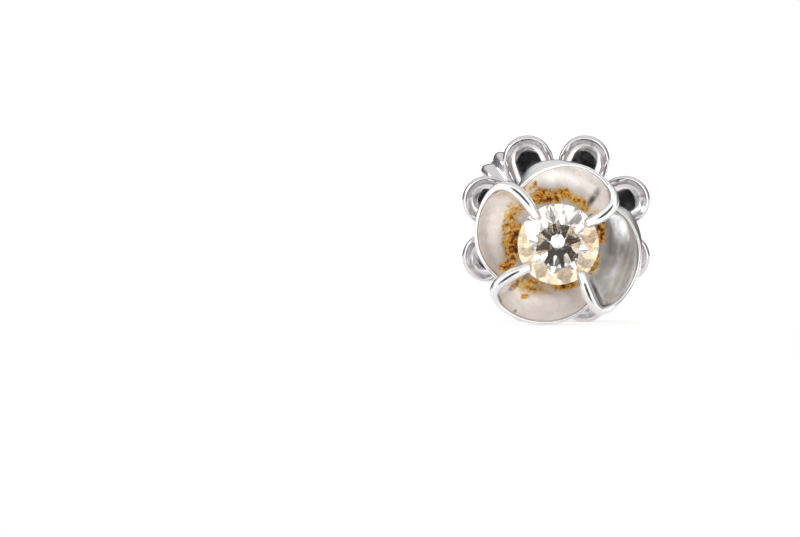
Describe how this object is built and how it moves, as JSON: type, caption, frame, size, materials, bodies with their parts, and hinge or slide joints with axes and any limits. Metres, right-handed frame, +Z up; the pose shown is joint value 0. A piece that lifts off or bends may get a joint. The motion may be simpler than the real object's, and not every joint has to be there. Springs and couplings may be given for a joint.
{
  "type": "stud earring",
  "caption": "Stud earring: a flower of cupped petals whose tips curl into claws over a round brilliant-cut stone, with an ear post and a lobed friction nut on it.",
  "frame": {"origin": "under the middle of the whole earring, on the surface that it lies on", "axes": "+Z up, -Y towards the front of the flower, +X to the right as the flower is seen from the front; the post runs back along +Y and rises by about 5 degrees"},
  "size_m": [0.0088, 0.0138, 0.0088],
  "materials": {
    "worn_white_metal": "polished white metal, dulled by wear and stained brown in the hollows",
    "stone": "clear faceted stone with a champagne tint",
    "bright_white_metal": "bright polished white metal"
  },
  "bodies": {
    "stud": {"flower_setting": "worn_white_metal", "stone": "stone"},
    "ear_nut": {"ear_nut": "bright_white_metal"}
  },
  "joints": [
    {"name": "nut_slide", "type": "slide", "parent": "stud", "child": "ear_nut", "axis": [0, 0.9959, 0.0906], "range_m": [-0.0034, 0.0062]}
  ]
}
